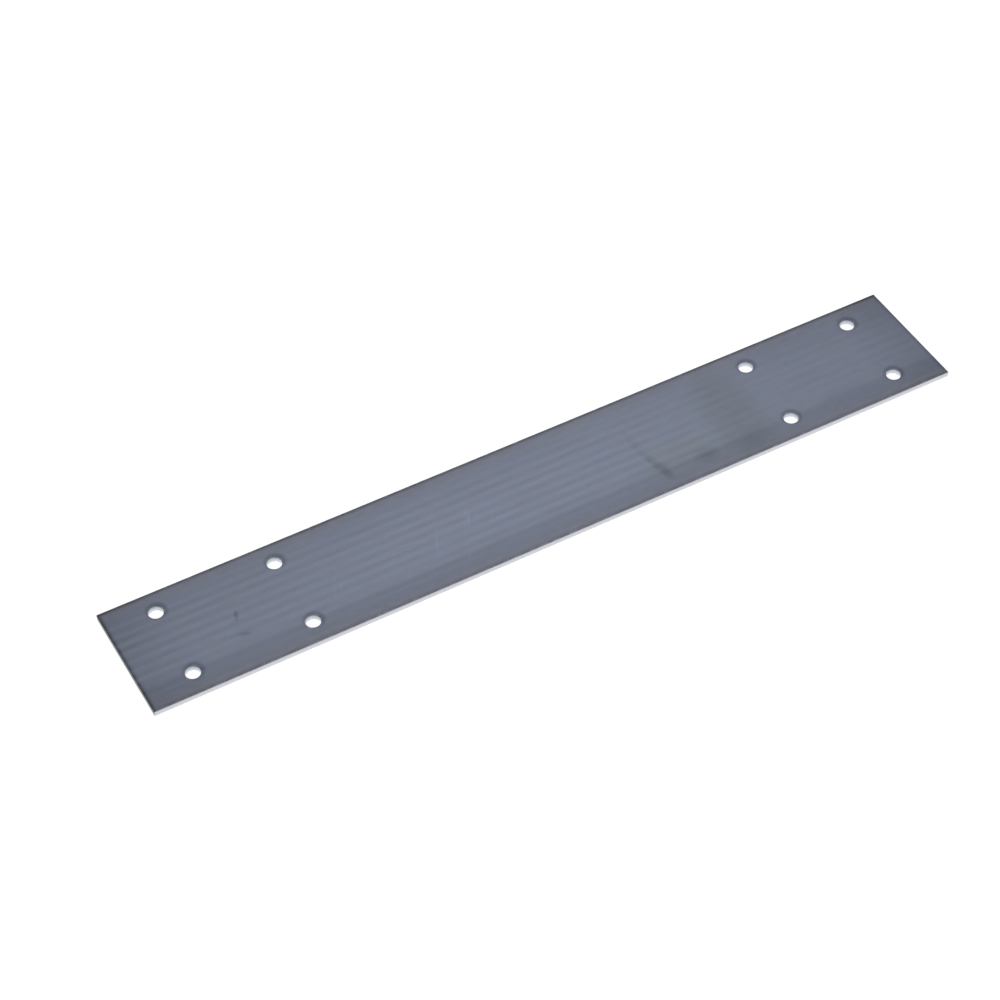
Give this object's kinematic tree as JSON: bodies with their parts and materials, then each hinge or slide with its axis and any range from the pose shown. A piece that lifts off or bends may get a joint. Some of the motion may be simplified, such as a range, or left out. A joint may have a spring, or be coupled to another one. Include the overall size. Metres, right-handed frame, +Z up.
{
  "type": "atv plow blade",
  "caption": "Flat rectangular steel plate with a rectangular group of bolt holes near each end, bolted along the lower edge of a small snow plow as its scraping blade.",
  "frame": {"origin": "centre of the plate's underside, on the plane that the plate lies on", "axes": "+X along the plate's length, +Y across its width, +Z up through its thickness"},
  "size_m": [0.6668, 0.1016, 0.0048],
  "materials": {
    "bare_steel": "satin"
  },
  "bodies": {
    "root": {"blade_plate": "bare_steel"}
  },
  "joints": []
}
